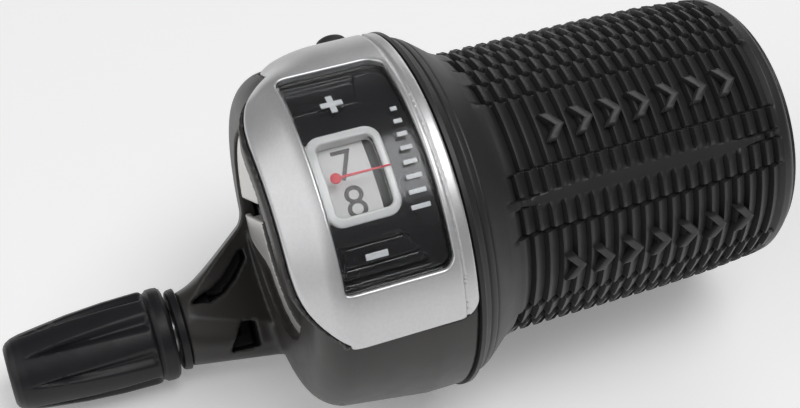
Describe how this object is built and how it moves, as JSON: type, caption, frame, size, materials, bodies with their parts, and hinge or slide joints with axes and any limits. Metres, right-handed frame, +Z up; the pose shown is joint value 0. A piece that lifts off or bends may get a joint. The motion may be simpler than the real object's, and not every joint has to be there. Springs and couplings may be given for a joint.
{
  "type": "bicycle twist shifter",
  "caption": "Handlebar twist shifter: ribbed turning grip, fixed housing with a numbered gear display under a clear lens, and a side arm with a fluted barrel adjuster.",
  "frame": {"origin": "on the handlebar's axis at the inboard mouth of the bar bore", "axes": "+X along the handlebar, outboard towards the grip's end; +Y forward, away from the rider; +Z up. The display faces 30 degrees from +Z towards -Y, at the rider."},
  "size_m": [0.1032, 0.0476, 0.0484],
  "materials": {
    "body_plastic": "moulded, finely grained, dark warm grey",
    "cover_silver": "satin silver lacquer",
    "display_black": "gloss black",
    "frame_white": "semi-gloss light grey",
    "pointer_red": "red lacquer",
    "lens_clear": "clear moulded plastic",
    "band_metal": "satin",
    "dark_steel": "blackened",
    "zinc_steel": "zinc plated, satin",
    "plug_rubber": "matt",
    "inner_plastic": "moulded",
    "nylon": "natural nylon",
    "spring_steel": "drawn wire",
    "ring_plastic": "moulded",
    "grip_rubber": "matt, moulded",
    "drum_white": "printed with dark digits",
    "knob_plastic": "moulded, satin"
  },
  "bodies": {
    "housing": {"main_body": "body_plastic", "top_cover": "cover_silver", "display_plate": "display_black", "window_frame": "frame_white", "pointer": "pointer_red", "lens": "lens_clear", "clamp_band": "band_metal", "clamp_screw": "dark_steel", "clamp_nut": "zinc_steel", "cable_port_plug": "plug_rubber", "cover_screws": "dark_steel", "spool_cover": "inner_plastic", "thrust_washer": "nylon", "detent_spring": "spring_steel", "cable_guide": "nylon", "arm_ring": "knob_plastic", "adjuster_spring": "spring_steel", "end_ring": "ring_plastic"},
    "grip": {"grip_core": "inner_plastic", "grip_rubber": "grip_rubber", "number_drum": "drum_white", "cable_spool": "nylon"},
    "click_carriage": {"click_washer": "zinc_steel"},
    "adjuster": {"barrel_knob": "knob_plastic", "barrel_screw": "zinc_steel", "casing_seat": "dark_steel"}
  },
  "joints": [
    {"name": "grip_twist", "type": "hinge", "parent": "housing", "child": "grip", "pos_m": [0, 0, 0], "axis": [1, 0, 0], "range_deg": [-12.5, 75], "deforming": ["detent_spring"]},
    {"name": "adjuster_advance", "type": "slide", "parent": "housing", "child": "click_carriage", "axis": [-1, 0, 0], "range_m": [0, 0.0032], "deforming": ["adjuster_spring"]},
    {"name": "adjuster_turn", "type": "hinge", "parent": "click_carriage", "child": "adjuster", "pos_m": [-0.0149, 0.00677, -0.01788], "axis": [-1, 0, 0], "range_deg": [0, 1441]}
  ],
  "couplings": [
    {"joint": "adjuster_turn", "follows": "adjuster_advance", "rad_per_m": 7854}
  ]
}
